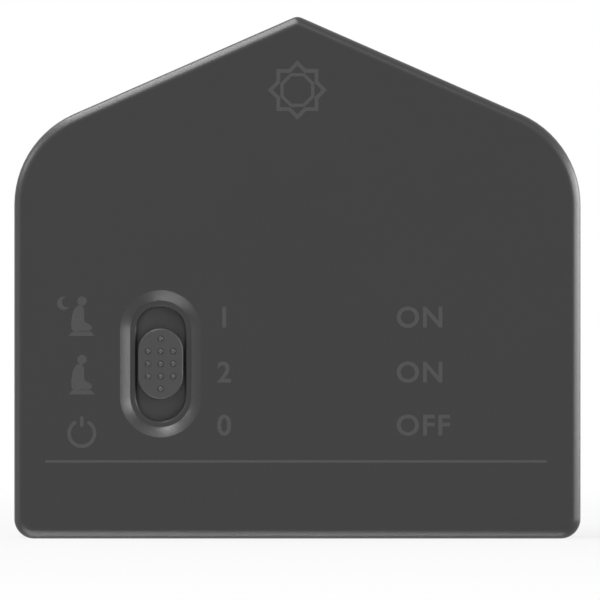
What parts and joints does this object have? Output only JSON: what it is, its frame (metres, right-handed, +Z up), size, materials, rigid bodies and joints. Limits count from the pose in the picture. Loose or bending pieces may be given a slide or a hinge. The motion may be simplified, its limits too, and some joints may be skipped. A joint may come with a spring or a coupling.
{
  "type": "prayer prostration counter",
  "caption": "Flat house-shaped counter in a dark matte case: display window on one face, position slider in an oval finger well on the underside, charging socket in a side wall.",
  "frame": {"origin": "on the floor under the middle of the straight lower edge, at half the thickness", "axes": "+Z up to the apex, -Y out of the underside with the slider, +X to the right when facing the underside"},
  "size_m": [0.08, 0.017, 0.0737],
  "materials": {
    "case": "dark grey, fine matte texture",
    "slider": "dark grey, fine matte texture",
    "window": "smoked, polished",
    "tape": "black double-sided tape",
    "film": "dark diffusing film",
    "light_guide": "white moulding",
    "lamp": "surface-mount lamp",
    "shroud_rubber": "soft black rubber",
    "clear_epoxy": "water-clear epoxy",
    "dark_epoxy": "dark filter epoxy",
    "board": "green solder mask",
    "screw_steel": "zinc plated",
    "chip_epoxy": "moulded epoxy",
    "capacitor": "tan ceramic body",
    "socket_steel": "nickel plated",
    "black_plastic": "black moulding",
    "pouch_foil": "laminated foil",
    "foam": "closed-cell foam tape",
    "red_insulation": "wire insulation",
    "black_insulation": "wire insulation",
    "connector": "natural nylon",
    "switch_steel": "tin plated sheet",
    "laminate": "phenolic paper laminate",
    "contact_metal": "silver-washed contact metal"
  },
  "bodies": {
    "housing": {"base_cover": "case", "top_cover": "case", "display_lens": "window", "lens_tape": "tape", "display_film": "film", "display_frame": "light_guide", "display_lamps": "lamp", "sensor_shroud": "shroud_rubber", "infrared_emitter": "clear_epoxy", "infrared_receiver": "dark_epoxy", "main_board": "board", "board_screws": "screw_steel", "controller_chip": "chip_epoxy", "charger_chip": "chip_epoxy", "chip_resistors": "chip_epoxy", "chip_capacitors": "capacitor", "charging_socket": "socket_steel", "charging_tongue": "black_plastic", "battery_pouch": "pouch_foil", "battery_pad": "foam", "battery_lead_red": "red_insulation", "battery_lead_black": "black_insulation", "battery_plug": "connector", "battery_socket": "connector", "switch_frame": "switch_steel", "switch_base": "laminate", "switch_pins": "contact_metal"},
    "slider": {"slider_knob": "slider", "switch_block": "black_plastic", "switch_contact": "contact_metal"}
  },
  "joints": [
    {"name": "slider_slide", "type": "slide", "parent": "housing", "child": "slider", "axis": [0, 0, 1], "range_m": [-0.0029, 0.0029]}
  ]
}
